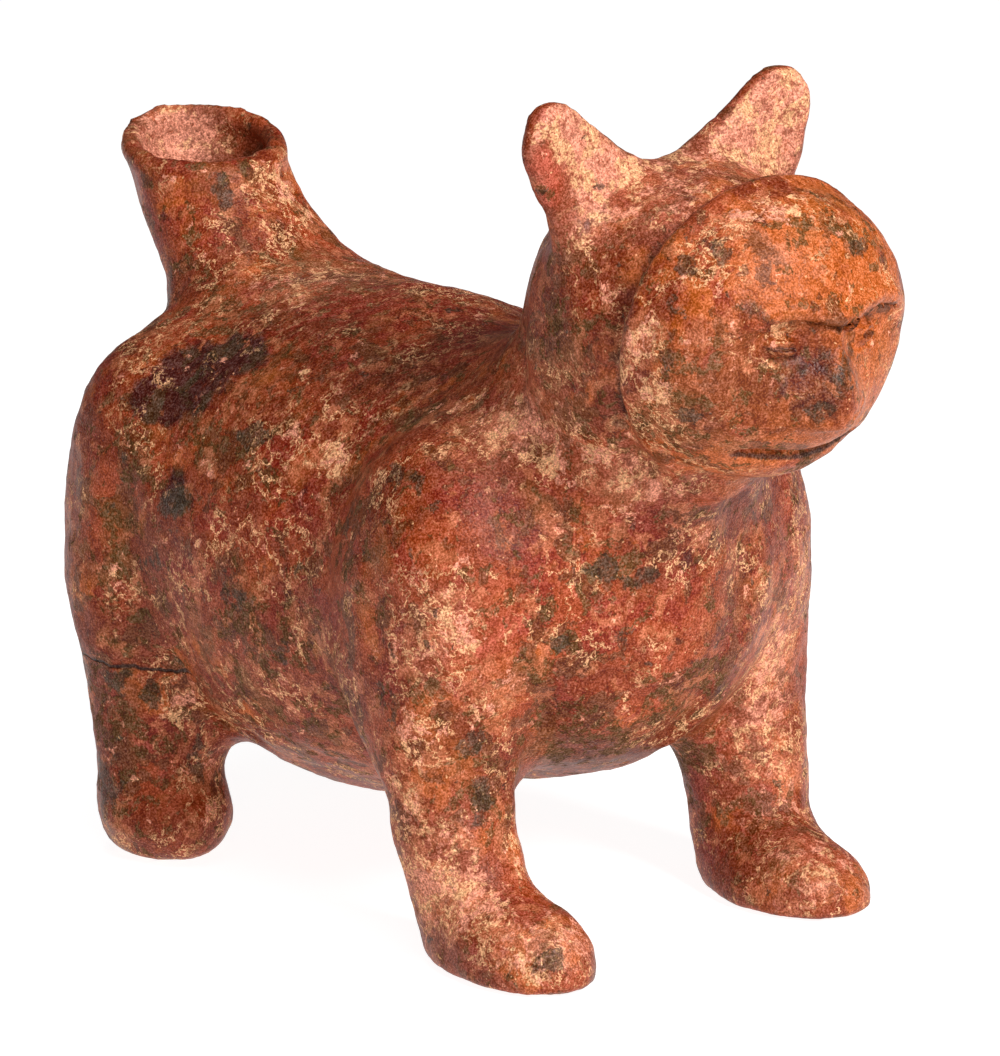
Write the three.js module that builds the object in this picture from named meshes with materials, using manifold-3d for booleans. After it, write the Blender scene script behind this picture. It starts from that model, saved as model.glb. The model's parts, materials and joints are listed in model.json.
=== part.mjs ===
// A hollow clay dog vessel in burnished red slip: a face mask on its head, short legs, an open spout
// for a tail. Millimetres, +Z up. The dog faces -Y, its right side is at -X, and the origin is on the
// ground in the middle.
import * as THREE from "three";
import { mergeVertices } from "three/addons/utils/BufferGeometryUtils.js";
import Module from "manifold-3d";

const wasm = await Module();
wasm.setup();

// The driving sizes. The free forms below are shares of the height.
const HEIGHT = 282; // ground to ear tips
const WALL = 6; // clay left round the hollow body
const SPOUT_RIM_WIDTH = 55; // across the outside of the spout's mouth
const SPOUT_RIM_WALL = 4;
const EAR_THICKNESS = 9.5;
const MASK_LEDGE = 5.5; // how far the mask's edge stands out from the head

// The nets' cells: smaller ones make finer facets.
const GRID_HALF_WIDTH = 0.43 * HEIGHT;
const GRID_HALF_LENGTH = 0.7 * HEIGHT;
const GRID_BOTTOM = -0.14 * HEIGHT;
const GRID_TOP = 1.08 * HEIGHT;
const SKIN_CELL = 0.043 * HEIGHT;
const HOLLOW_CELL = 0.066 * HEIGHT;
const EAR_CELL = 0.026 * HEIGHT;
const EAR_CELL_THROUGH = EAR_THICKNESS / 2.2;
const MASK_CELLS = 26; // across the mask
const SPOUT_RINGS = 6;
const SPOUT_SIDES = 28;
const SETTLE_ROUNDS = 3;

const scaled = (shares) => shares.map((share) => share * HEIGHT);
const form = (at, radii) => ({ at: scaled(at), radii: scaled(radii) });

// Torso: a barrel with a chest, a rump, shoulders and haunches pressed into one skin.
const BARREL = form([0, 0.121, 0.392], [0.298, 0.34, 0.306]);
const CHEST = form([0.008, -0.188, 0.418], [0.24, 0.213, 0.248]);
const RUMP = form([0, 0.326, 0.442], [0.262, 0.185, 0.225]);
const SHOULDER = form([0.206, -0.199, 0.418], [0.113, 0.128, 0.192]);
const HAUNCH = form([0.184, 0.35, 0.44], [0.11, 0.117, 0.19]);
const TORSO_BLEND = 0.12 * HEIGHT;
const LEG_BLEND = 0.06 * HEIGHT;

// Legs: hand-built and a little unlike. Each one leans forward from a hip inside the torso down to its ankle.
const HIP_RADIUS = 0.089 * HEIGHT;
const ANKLE_Z = 0.055 * HEIGHT;
const HOLLOW_FOOT_Z = 0.23 * HEIGHT;
const PAW_BLEND = 0.043 * HEIGHT;
const LEGS = [
  {
    hip: [-0.22, -0.184, 0.312],
    ankle: [-0.22, -0.256],
    ankleRadius: 0.065,
    paw: form([-0.22, -0.335, 0.014], [0.079, 0.115, 0.075]),
  },
  {
    hip: [0.246, -0.184, 0.312],
    ankle: [0.23, -0.25],
    ankleRadius: 0.075,
    paw: form([0.211, -0.335, 0.012], [0.085, 0.117, 0.073]),
  },
  {
    hip: [-0.22, 0.344, 0.312],
    ankle: [-0.22, 0.314],
    ankleRadius: 0.069,
    paw: form([-0.218, 0.305, 0.045], [0.076, 0.094, 0.053]),
  },
  {
    hip: [0.22, 0.344, 0.312],
    ankle: [0.22, 0.314],
    ankleRadius: 0.069,
    paw: form([0.218, 0.305, 0.045], [0.076, 0.094, 0.053]),
  },
];

// Neck, head and ears.
const NECK_FROM = scaled([0, -0.27, 0.596]);
const NECK_TO = scaled([0, -0.358, 0.73]);
const NECK_RADIUS = 0.155 * HEIGHT;
const HEAD_BACK = scaled([0, -0.358, 0.735]);
const HEAD_FRONT = scaled([0, -0.42, 0.735]);
const HEAD_RADIUS = 0.164 * HEIGHT;
const HEAD_BLEND = 0.07 * HEIGHT;
const EARS = [
  { root: [-0.119, -0.34, 0.88], rootRadius: 0.076, tip: [-0.176, -0.334, 0.952], tipRadius: 0.048 },
  { root: [0.114, -0.347, 0.888], rootRadius: 0.08, tip: [0.158, -0.347, 0.963], tipRadius: 0.047 },
];
const EAR_TURN = 8; // degrees, each front face outwards
const EAR_BLEND = 0.042 * HEIGHT;
const EAR_SINK = 0.0025 * HEIGHT; // the ear's own patch of head lies this far inside the skin

// Mask: a domed slab pressed on the front of the head, its face tipped down.
const MASK_AT = scaled([0, -0.496, 0.741]);
const MASK_DEPTH = 0.137 * HEIGHT;
const MASK_HALF_WIDTH = HEAD_RADIUS + MASK_LEDGE;
const MASK_HALF_HEIGHT = 0.167 * HEIGHT;
const MASK_BACK = 0.036 * HEIGHT; // from the mask's widest line back to its edge
const MASK_TIP = 10; // degrees
const BROW_LEVEL = 0.28; // share of the mask's half height, above its middle
const DOME_SWEEP = THREE.MathUtils.degToRad(70); // evens the rows out over the dome

// Spout tail: it bends up from the rump, and its mouth is cut nearly level.
const SPOUT_MOUTH_Y = 0.504 * HEIGHT;
const SPOUT_MOUTH_Z = 0.826 * HEIGHT;
const SPOUT_LEAN = 0.45; // backward run for each step up, at the mouth
const SPOUT_BEND = 2.1; // how fast the lean grows downwards
const SPOUT_SPREAD = 0.12; // gain in radius for each step down
const SPOUT_ELBOW = 0.19 * HEIGHT; // this far down from the mouth it turns straight down into the body
const SPOUT_BORE_DEPTH = 0.262 * HEIGHT; // from the mouth down into the hollow
const SPOUT_ROOT_TOP_Z = SPOUT_MOUTH_Z - 0.088 * HEIGHT;
const SPOUT_ROOT_INSET = 1.5;
const SPOUT_SLANT = 0.85; // true distance to the slanted side for each level one
const SPOUT_BORE_TAPER = 0.1; // gain in the wall for each step down
const SPOUT_BLEND = 0.06 * HEIGHT;
const SPOUT_TOP_Z = SPOUT_MOUTH_Z + 0.06 * HEIGHT; // past the mouth's cut
const MOUTH_TIP_RIGHT = 8; // degrees, the rim lower on the dog's right
const MOUTH_TIP_FRONT = 9; // degrees, the rim lower in front

function ellipsoid(x, y, z, { at, radii }) {
  const [px, py, pz] = [x - at[0], y - at[1], z - at[2]];
  const [rx, ry, rz] = radii;
  const k0 = Math.hypot(px / rx, py / ry, pz / rz);
  const k1 = Math.hypot(px / (rx * rx), py / (ry * ry), pz / (rz * rz));
  return k1 < 1e-9 ? -Math.min(rx, ry, rz) : (k0 * (k0 - 1)) / k1;
}

function limb(x, y, z, a, b, ra, rb) {
  const [dx, dy, dz] = [b[0] - a[0], b[1] - a[1], b[2] - a[2]];
  const [px, py, pz] = [x - a[0], y - a[1], z - a[2]];
  const t = Math.min(1, Math.max(0, (px * dx + py * dy + pz * dz) / (dx * dx + dy * dy + dz * dz)));
  return Math.hypot(px - t * dx, py - t * dy, pz - t * dz) - (ra + (rb - ra) * t);
}

function blend(a, b, k) {
  const h = Math.max(k - Math.abs(a - b), 0) / k;
  return Math.min(a, b) - (h * h * k) / 4;
}

function torso(x, y, z) {
  const ax = Math.abs(x);
  let d = ellipsoid(x, y, z, BARREL);
  d = blend(d, ellipsoid(x, y, z, CHEST), TORSO_BLEND);
  d = blend(d, ellipsoid(x, y, z, RUMP), TORSO_BLEND);
  d = blend(d, ellipsoid(ax, y, z, SHOULDER), LEG_BLEND);
  return blend(d, ellipsoid(ax, y, z, HAUNCH), LEG_BLEND);
}

// A leg from its hip down its middle line to a level, which is the ankle's for the whole of it.
function shank(x, y, z, { hip, ankle, ankleRadius }, endZ) {
  const top = scaled(hip);
  const share = (top[2] - endZ) / (top[2] - ANKLE_Z);
  const toEnd = (from, to) => from + (to - from) * share;
  const end = [toEnd(top[0], ankle[0] * HEIGHT), toEnd(top[1], ankle[1] * HEIGHT), endZ];
  return limb(x, y, z, top, end, HIP_RADIUS, toEnd(HIP_RADIUS, ankleRadius * HEIGHT));
}

function leg(x, y, z, which) {
  return blend(shank(x, y, z, which, ANKLE_Z), ellipsoid(x, y, z, which.paw), PAW_BLEND);
}

function head(x, y, z) {
  const neck = limb(x, y, z, NECK_FROM, NECK_TO, NECK_RADIUS, NECK_RADIUS);
  return blend(neck, limb(x, y, z, HEAD_BACK, HEAD_FRONT, HEAD_RADIUS, HEAD_RADIUS), HEAD_BLEND);
}

// A flat leaf with a round rim, in the ear's own frame: its root at the origin, its front face to -Y.
function ear(x, y, z, { root, rootRadius, tip, tipRadius }) {
  const axis = new THREE.Vector3(...scaled(tip)).sub(new THREE.Vector3(...scaled(root)));
  const t = THREE.MathUtils.clamp((x * axis.x + z * axis.z) / (axis.x ** 2 + axis.z ** 2), 0, 1);
  const radius = THREE.MathUtils.lerp(rootRadius, tipRadius, t) * HEIGHT;
  const outline = Math.hypot(x - axis.x * t, z - axis.z * t) - radius;
  return Math.hypot(Math.max(outline + EAR_THICKNESS / 2, 0), y - axis.y * t) - EAR_THICKNESS / 2;
}

// The spout's middle line and its radius outside and inside at a height.
function spoutAt(z) {
  const down = Math.min(SPOUT_MOUTH_Z - z, SPOUT_ELBOW);
  const y = SPOUT_MOUTH_Y - SPOUT_LEAN * down - (SPOUT_BEND * down * Math.abs(down)) / HEIGHT;
  const radius = SPOUT_RIM_WIDTH / 2 + SPOUT_SPREAD * down;
  return { y, radius, bore: radius - Math.min(WALL, SPOUT_RIM_WALL + SPOUT_BORE_TAPER * down) };
}

// The spout's root, a little thinner than the spout, as far up as the body's skin rises to meet it.
function spoutRoot(x, y, z) {
  const { y: middle, radius } = spoutAt(z);
  const side = (Math.hypot(x, y - middle) - radius + SPOUT_ROOT_INSET) * SPOUT_SLANT;
  return Math.max(side, SPOUT_MOUTH_Z - SPOUT_ELBOW - z, z - SPOUT_ROOT_TOP_Z);
}

function body(x, y, z) {
  let d = torso(x, y, z);
  for (const which of LEGS) d = blend(d, leg(x, y, z, which), LEG_BLEND);
  d = blend(d, head(x, y, z), HEAD_BLEND);
  return blend(d, spoutRoot(x, y, z), SPOUT_BLEND);
}

// The hollow keeps WALL inside the skin, and stops high in the legs and short of the mask's front.
function hollow(x, y, z) {
  let d = torso(x, y, z);
  for (const which of LEGS) d = blend(d, shank(x, y, z, which, HOLLOW_FOOT_Z), LEG_BLEND);
  return blend(d, head(x, y, z), HEAD_BLEND) + WALL;
}

// A cube's corners are numbered 0 to 7 by their x, y and z bits.
const AXIS_BITS = [1, 2, 4];
const CORNERS = [0, 1, 2, 3, 4, 5, 6, 7];
const EDGES = AXIS_BITS.flatMap((bit) => CORNERS.filter((c) => !(c & bit)).map((c) => [c, c | bit]));
const FACES = AXIS_BITS.flatMap((bit, n) => {
  const [g, h] = AXIS_BITS.filter((_, m) => m !== n);
  return [0, bit].map((s) => [s, s | g, s | g | h, s | h]);
});
const edgeBetween = (a, b) => EDGES.findIndex(([p, q]) => p === Math.min(a, b) && q === Math.max(a, b));

// Groups a cube's crossed edges into the separate sheets that pass through it.
function sheetsOf(inside) {
  const group = EDGES.map((_, e) => e);
  const find = (e) => (group[e] === e ? e : find(group[e]));
  const join = (e, f) => {
    group[find(e)] = find(f);
  };
  for (const face of FACES) {
    const edges = face.map((c, m) => edgeBetween(c, face[(m + 1) % 4]));
    const crossed = edges.filter((e) => inside[EDGES[e][0]] !== inside[EDGES[e][1]]);
    if (crossed.length === 2) join(crossed[0], crossed[1]);
    if (crossed.length === 4) face.forEach((c, m) => inside[c] && join(edges[m], edges[(m + 3) % 4]));
  }
  return EDGES.map((_, e) => find(e));
}

// The surface where a field is 0, on a grid whose lines along each axis are given: one vertex for each
// sheet in a crossed cell, and one quad round each crossed grid edge. The grid reaches at least two cells
// beyond the form.
function surfaceNet(field, xs, ys, zs) {
  const lines = [xs, ys, zs];
  const [nx, ny, nz] = lines.map((l) => l.length);
  const at = (i, j, k) => (k * ny + j) * nx + i;
  const values = new Float64Array(nx * ny * nz);
  zs.forEach((z, k) => ys.forEach((y, j) => xs.forEach((x, i) => (values[at(i, j, k)] = field(x, y, z)))));
  const positions = [];
  const cells = new Map();

  function cellAt(i, j, k) {
    const key = at(i, j, k);
    if (cells.has(key)) return cells.get(key);
    const corners = CORNERS.map((c) => [i + (c & 1), j + ((c >> 1) & 1), k + (c >> 2)]);
    const value = corners.map((c) => values[at(...c)]);
    const sheets = sheetsOf(value.map((v) => v < 0));
    const sums = new Map();
    EDGES.forEach(([a, b], e) => {
      if (value[a] < 0 === value[b] < 0) return;
      const t = value[a] / (value[a] - value[b]);
      const sum = sums.get(sheets[e]) ?? [0, 0, 0, 0];
      lines.forEach((l, n) => (sum[n] += l[corners[a][n]] * (1 - t) + l[corners[b][n]] * t));
      sum[3]++;
      sums.set(sheets[e], sum);
    });
    const vertex = new Map();
    for (const [sheet, sum] of sums) {
      vertex.set(sheet, positions.length);
      positions.push(new THREE.Vector3(sum[0], sum[1], sum[2]).divideScalar(sum[3]));
    }
    cells.set(key, { sheets, vertex });
    return cells.get(key);
  }

  const quads = [];
  const steps = [[1, 0, 0], [0, 1, 0], [0, 0, 1]];
  for (let k = 1; k < nz - 1; k++)
    for (let j = 1; j < ny - 1; j++)
      for (let i = 1; i < nx - 1; i++)
        steps.forEach((step, n) => {
          const inside = values[at(i, j, k)] < 0;
          if (inside === values[at(i + step[0], j + step[1], k + step[2])] < 0) return;
          const [u, v] = [steps[(n + 1) % 3], steps[(n + 2) % 3]];
          const ring = [[1, 1], [0, 1], [0, 0], [1, 0]].map(([p, q]) => {
            const cell = cellAt(i - p * u[0] - q * v[0], j - p * u[1] - q * v[1], k - p * u[2] - q * v[2]);
            const low = p * AXIS_BITS[(n + 1) % 3] + q * AXIS_BITS[(n + 2) % 3];
            return cell.vertex.get(cell.sheets[edgeBetween(low, low + AXIS_BITS[n])]);
          });
          quads.push(inside ? ring : ring.reverse());
        });
  return { positions, quads };
}

// Evens a net out: each vertex moves towards its neighbours' middle, then back onto the surface.
function settle({ positions, quads }, field, rounds) {
  const gradient = new THREE.Vector3();
  const probe = 0.01;
  for (let round = 0; round < rounds; round++) {
    const sums = positions.map(() => ({ sum: new THREE.Vector3(), count: 0 }));
    for (const quad of quads)
      quad.forEach((corner, m) => {
        sums[corner].sum.add(positions[quad[(m + 1) % 4]]);
        sums[corner].count++;
      });
    positions.forEach((p, n) => {
      p.lerp(sums[n].sum.divideScalar(sums[n].count), 0.5);
      for (let pull = 0; pull < 2; pull++) {
        const d = field(p.x, p.y, p.z);
        const aheadX = field(p.x + probe, p.y, p.z);
        const aheadY = field(p.x, p.y + probe, p.z);
        const aheadZ = field(p.x, p.y, p.z + probe);
        gradient.set(aheadX, aheadY, aheadZ).subScalar(d).divideScalar(probe);
        p.addScaledVector(gradient, -d / Math.max(gradient.lengthSq(), 0.2));
      }
    });
  }
}

function gridLines(from, to, spacing) {
  const count = Math.ceil((to - from) / spacing);
  return Array.from({ length: count + 1 }, (_, n) => from + ((to - from) * n) / count);
}

// Each quad is split across its shorter way.
function netGeometry(field, xs, ys, zs) {
  const net = surfaceNet(field, xs, ys, zs);
  settle(net, field, SETTLE_ROUNDS);
  const { positions, quads } = net;
  const triangles = quads.flatMap(([a, b, c, d]) => {
    const split = positions[a].distanceTo(positions[c]) < positions[b].distanceTo(positions[d]);
    return split ? [a, b, c, a, c, d] : [a, b, d, b, c, d];
  });
  const geometry = new THREE.BufferGeometry().setFromPoints(positions);
  geometry.setIndex(triangles);
  return geometry;
}

function solidOf(geometry) {
  const bare = geometry.clone();
  bare.deleteAttribute("normal");
  bare.deleteAttribute("uv");
  const merged = mergeVertices(bare, 1e-4);
  const corners = Array.from(merged.index.array);
  const triangles = [];
  for (let t = 0; t < corners.length; t += 3) {
    const [a, b, c] = corners.slice(t, t + 3);
    if (a !== b && b !== c && c !== a) triangles.push(a, b, c);
  }
  return new wasm.Manifold(
    new wasm.Mesh({
      numProp: 3,
      vertProperties: new Float32Array(merged.attributes.position.array),
      triVerts: new Uint32Array(triangles),
    }),
  );
}

function geometryOf(solid) {
  const mesh = solid.getMesh();
  const geometry = new THREE.BufferGeometry();
  geometry.setAttribute("position", new THREE.BufferAttribute(mesh.vertProperties, 3));
  geometry.setIndex(new THREE.BufferAttribute(mesh.triVerts, 1));
  return geometry;
}

function reshape(geometry, move) {
  const position = geometry.attributes.position;
  const p = new THREE.Vector3();
  for (let n = 0; n < position.count; n++) {
    move(p.fromBufferAttribute(position, n));
    position.setXYZ(n, p.x, p.y, p.z);
  }
  return geometry;
}

// The mask's relief at a place given in half widths and half heights from its middle, as a share of its
// half height: a full forehead over a brow line, small eyes, a broad low nose and a slit mouth.
const swell = (distance, reach) => Math.exp(-((distance / reach) ** 2));
const rampUp = (t) => THREE.MathUtils.smoothstep(t, 0, 1);
const browLine = (au) => BROW_LEVEL + 0.08 * swell(au - 0.35, 0.25) - 0.12 * rampUp((au - 0.5) / 0.4);

function relief(u, w) {
  const au = Math.abs(u);
  const underBrow = rampUp((browLine(au) - w) / 0.2) * rampUp((w + 0.6) / 0.7) * rampUp((0.95 - au) / 0.4);
  const eye = Math.hypot((au - 0.36) / 1.3, w - 0.12);
  const noseWidth = 0.12 + 0.2 * rampUp((0.3 - w) / 0.6);
  const nose = swell(u, noseWidth) * rampUp((0.36 - w) / 0.6) * rampUp((w + 0.55) / 0.3);
  const muzzle = swell(Math.hypot(u, w + 0.6), 0.42);
  const mouth = swell(w + 0.72 - 0.12 * au, 0.07) * rampUp((0.55 - au) / 0.15);
  const eyes = 0.07 * swell(eye, 0.1) - 0.05 * swell(eye, 0.2);
  return eyes - 0.1 * underBrow + 0.12 * nose + 0.05 * muzzle - 0.07 * mouth;
}

// A domed slab, from a box with square grids on its front and back: each square goes to a disc, the disc
// goes round onto the dome, and the rows near the brow are drawn onto it.
function maskGeometry() {
  const box = new THREE.BoxGeometry(2, 2, 2, MASK_CELLS, 1, MASK_CELLS);
  const dome = reshape(box, (p) => {
    const [x, z] = [p.x * Math.sqrt(1 - p.z ** 2 / 2), p.z * Math.sqrt(1 - p.x ** 2 / 2)];
    const r = Math.hypot(x, z);
    const round = r > 0 ? Math.sin(r * DOME_SWEEP) / (r * Math.sin(DOME_SWEEP)) : 0;
    const u = x * round;
    const row = z * round;
    const w = row + (browLine(Math.abs(u)) - BROW_LEVEL) * swell(row - BROW_LEVEL, 0.25) * (1 - r ** 2);
    const bulge = p.y < 0 ? Math.sqrt(Math.max(1 - u ** 2 - w ** 2, 0)) : 0;
    const raised = rampUp(2 * bulge) * relief(u, w) * MASK_HALF_HEIGHT;
    const back = p.y < 0 ? 0 : MASK_BACK;
    p.set(u * MASK_HALF_WIDTH, -bulge * MASK_DEPTH, w * MASK_HALF_HEIGHT);
    p.addScaledVector(p, raised / Math.max(p.length(), 1));
    p.y += back;
  });
  return dome.rotateX(THREE.MathUtils.degToRad(MASK_TIP)).translate(...MASK_AT);
}

// An ear with the fillet round its root, on a patch of the head that ends inside the head.
function earGeometry(which) {
  const root = new THREE.Vector3(...scaled(which.root));
  const tip = new THREE.Vector3(...scaled(which.tip)).sub(root);
  const turn = new THREE.Matrix4().makeRotationZ(-Math.sign(root.x) * THREE.MathUtils.degToRad(EAR_TURN));
  const place = turn.clone().setPosition(root);
  const reach = which.rootRadius * HEIGHT + EAR_BLEND;
  const deep = EAR_THICKNESS + EAR_BLEND;
  const patch = new THREE.Box3()
    .setFromPoints([new THREE.Vector3(), tip])
    .expandByVector(new THREE.Vector3(reach, deep, reach));
  const p = new THREE.Vector3();
  const field = (x, y, z) => {
    p.set(x, y, z).applyMatrix4(place);
    const d = blend(head(p.x, p.y, p.z) + EAR_SINK, ear(x, y, z, which), EAR_BLEND);
    const across = Math.max(patch.min.x - x, x - patch.max.x);
    const along = Math.max(patch.min.y - y, y - patch.max.y);
    return Math.max(d, across, along, patch.min.z - z);
  };
  const cells = { x: EAR_CELL, y: EAR_CELL_THROUGH, z: EAR_CELL };
  const grid = ["x", "y", "z"].map((c) => {
    const margin = 2 * cells[c];
    return gridLines(patch.min[c] - margin, patch.max[c] + margin, cells[c]);
  });
  return netGeometry(field, ...grid).applyMatrix4(place);
}

// A round tube along the spout's middle line, as wide as the outside or the bore.
function spoutTube(bottomZ, width) {
  const profile = [new THREE.Vector2(0, bottomZ)];
  for (let n = 0; n <= SPOUT_RINGS; n++) {
    const z = THREE.MathUtils.lerp(bottomZ, SPOUT_TOP_Z, n / SPOUT_RINGS);
    profile.push(new THREE.Vector2(spoutAt(z)[width], z));
  }
  profile.push(new THREE.Vector2(0, SPOUT_TOP_Z));
  const tube = new THREE.LatheGeometry(profile, SPOUT_SIDES).rotateX(Math.PI / 2);
  return reshape(tube, (p) => (p.y += spoutAt(p.z).y));
}

function mouthCut() {
  const size = HEIGHT;
  return new THREE.BoxGeometry(size, size, size)
    .translate(0, 0, size / 2)
    .rotateY(-THREE.MathUtils.degToRad(MOUTH_TIP_RIGHT))
    .rotateX(THREE.MathUtils.degToRad(MOUTH_TIP_FRONT))
    .translate(0, SPOUT_MOUTH_Y, SPOUT_MOUTH_Z);
}

const bodyGrid = (cell) => [
  gridLines(-GRID_HALF_WIDTH, GRID_HALF_WIDTH, cell),
  gridLines(-GRID_HALF_LENGTH, GRID_HALF_LENGTH, cell),
  gridLines(GRID_BOTTOM, GRID_TOP, cell),
];

const spout = solidOf(spoutTube(SPOUT_MOUTH_Z - SPOUT_ELBOW, "radius"));
const bore = solidOf(spoutTube(SPOUT_MOUTH_Z - SPOUT_BORE_DEPTH, "bore"));
const skin = solidOf(netGeometry(body, ...bodyGrid(SKIN_CELL)))
  .add(solidOf(earGeometry(EARS[0])))
  .add(solidOf(earGeometry(EARS[1])))
  .add(solidOf(maskGeometry()))
  .add(spout);
const ground = solidOf(new THREE.BoxGeometry(3 * HEIGHT, 3 * HEIGHT, HEIGHT).translate(0, 0, -HEIGHT / 2));
const vesselSolid = skin
  .subtract(ground)
  .subtract(solidOf(mouthCut()))
  .subtract(solidOf(netGeometry(hollow, ...bodyGrid(HOLLOW_CELL))))
  .subtract(bore);

const geometry = geometryOf(vesselSolid);
geometry.computeBoundingBox();
const middle = geometry.boundingBox.getCenter(new THREE.Vector3());
geometry.translate(-middle.x, -middle.y, -geometry.boundingBox.min.z);

const clay = new THREE.MeshStandardMaterial({ color: 0x8c3a24, roughness: 0.55, metalness: 0 });
const vessel = new THREE.Mesh(geometry, clay);
vessel.name = "dog_vessel";
const part = new THREE.Group();
part.add(vessel);
export default part;
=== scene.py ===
# %% [markdown]
# # A hollow clay dog in burnished red slip
# The real thing is one fired vessel: a dog with a clay mask on its face and an open spout for a tail.
# We start from the imported CAD model, which is already the right size and in the right place. It comes
# in as a fixed frame, so we never touch it. We keep its box, to keep ours inside it.

# %% Load the frame
import json
import math
import bpy
import numpy as np
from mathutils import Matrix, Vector

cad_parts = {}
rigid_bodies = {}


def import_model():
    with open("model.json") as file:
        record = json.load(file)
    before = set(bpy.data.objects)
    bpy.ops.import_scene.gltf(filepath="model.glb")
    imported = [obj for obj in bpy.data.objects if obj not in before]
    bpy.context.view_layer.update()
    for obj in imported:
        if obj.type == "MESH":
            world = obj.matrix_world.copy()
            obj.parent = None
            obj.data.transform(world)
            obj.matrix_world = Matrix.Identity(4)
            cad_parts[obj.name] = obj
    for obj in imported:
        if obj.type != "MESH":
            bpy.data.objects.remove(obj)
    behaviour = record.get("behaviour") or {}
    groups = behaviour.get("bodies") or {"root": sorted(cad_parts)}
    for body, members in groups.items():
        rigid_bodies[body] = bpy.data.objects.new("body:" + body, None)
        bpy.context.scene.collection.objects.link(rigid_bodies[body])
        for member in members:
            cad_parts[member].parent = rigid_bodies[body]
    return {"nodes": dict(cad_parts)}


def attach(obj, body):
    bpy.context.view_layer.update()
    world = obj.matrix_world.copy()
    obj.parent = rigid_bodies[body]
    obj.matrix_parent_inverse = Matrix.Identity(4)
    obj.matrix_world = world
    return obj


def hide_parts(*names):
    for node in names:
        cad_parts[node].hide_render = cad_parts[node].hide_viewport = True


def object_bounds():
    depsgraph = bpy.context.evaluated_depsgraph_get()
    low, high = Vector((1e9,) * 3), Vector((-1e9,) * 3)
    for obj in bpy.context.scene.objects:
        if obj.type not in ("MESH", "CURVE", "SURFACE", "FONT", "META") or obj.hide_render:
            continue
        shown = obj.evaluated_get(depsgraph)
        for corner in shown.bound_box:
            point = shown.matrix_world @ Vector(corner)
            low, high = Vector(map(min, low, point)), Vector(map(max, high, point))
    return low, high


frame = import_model()
cad_box = [list(corner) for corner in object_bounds()]
bpy.ops.object.select_all(action="DESELECT")
print("CAD box in metres:", cad_box)

# %% [markdown]
# ## Camera
# The photograph looks at the dog's right side and a little from the front, from slightly above, with a
# long lens. We name the two angles and the distance, and turn them into a place for the camera. The
# lens follows from how large the dog stands in the picture.

# %% Camera
AZIMUTH = math.radians(-41.3)
ELEVATION = math.radians(13.8)
DISTANCE = 1.943  # metres
AIM = Vector((0.0118, 0.0038, 0.1172))
SENSOR = 36  # millimetres, along the picture's longer side
PICTURE_PIXELS = 1056  # the same side in pixels
LENS_PIXELS = 5800  # the lens's length in those pixels

towards_camera = Vector((
    math.sin(AZIMUTH) * math.cos(ELEVATION),
    -math.cos(AZIMUTH) * math.cos(ELEVATION),
    math.sin(ELEVATION),
))
bpy.ops.object.camera_add(location=AIM + towards_camera * DISTANCE)
camera = bpy.context.object
camera.name = "photo_camera"
camera.rotation_mode = "QUATERNION"
camera.rotation_quaternion = (-towards_camera).to_track_quat("-Z", "Y")
camera.data.sensor_width = SENSOR
camera.data.lens = SENSOR * LENS_PIXELS / PICTURE_PIXELS
bpy.context.scene.camera = camera
print("Lens in millimetres:", round(camera.data.lens, 1))

# %% [markdown]
# ## Floor
# The dog stands on a plain white sheet. A wide plane does for it. Its material glows, because a white
# sheet in a light tent is lit from all sides, so it hardly takes a shadow.

# %% Floor
SHEET_SIDE = 60  # metres, so that its edge is far away
SHEET_GREY = 0.35
SHEET_GLOW = 0.92

bpy.ops.mesh.primitive_plane_add(size=SHEET_SIDE)
floor = bpy.context.object
floor.name = "floor"
paper = bpy.data.materials.new("white_paper")
paper.use_nodes = True
sheet = paper.node_tree.nodes["Principled BSDF"]
sheet.inputs["Base Color"].default_value = (SHEET_GREY, SHEET_GREY, SHEET_GREY, 1)
sheet.inputs["Roughness"].default_value = 0.9
sheet.inputs["Emission Color"].default_value = (1, 1, 1, 1)
sheet.inputs["Emission Strength"].default_value = SHEET_GLOW
floor.data.materials.append(paper)
print("Floor:", tuple(floor.dimensions))

# %% [markdown]
# ## Lights
# Area lights give soft edges to what shadow there is: a key light high in front, a weak one low on the
# side that the camera sees, and one on top for the back. The world adds a little light from all round.


# %% Lights
TENT_LIGHT = 0.1


def area_light(name, place, size, power):
    """A square light that looks at the dog: its place and size in metres, its power in watts."""
    bpy.ops.object.light_add(type="AREA", location=place)
    light = bpy.context.object
    light.name = name
    light.data.size = size
    light.data.energy = power
    light.rotation_euler = (AIM - Vector(place)).to_track_quat("-Z", "Y").to_euler()


area_light("key", (0.0, -1.7, 1.35), 0.7, 48)
area_light("fill", (-1.2, -1.6, 0.3), 1.2, 8)
area_light("top", (-0.4, -0.2, 1.8), 0.8, 9)
world = bpy.data.worlds.new("light_tent")
world.use_nodes = True
background = world.node_tree.nodes["Background"]
background.inputs["Color"].default_value = (1, 1, 1, 1)
background.inputs["Strength"].default_value = TENT_LIGHT
bpy.context.scene.world = world
bpy.context.scene.view_settings.view_transform = "Standard"

# %% [markdown]
# ## The clay body
# The CAD model has the right form in flat facets. Clay has none, so a copy of its mesh becomes one even
# skin of small squares, with a voxel remesh, and is then smoothed. A lattice or a fresh sculpt would
# also do, but this way the walls, the bore and the soles stay where the CAD model has them.

# %% Copy the vessel's mesh
SAME_POINT = 0.00001  # metres

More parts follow.
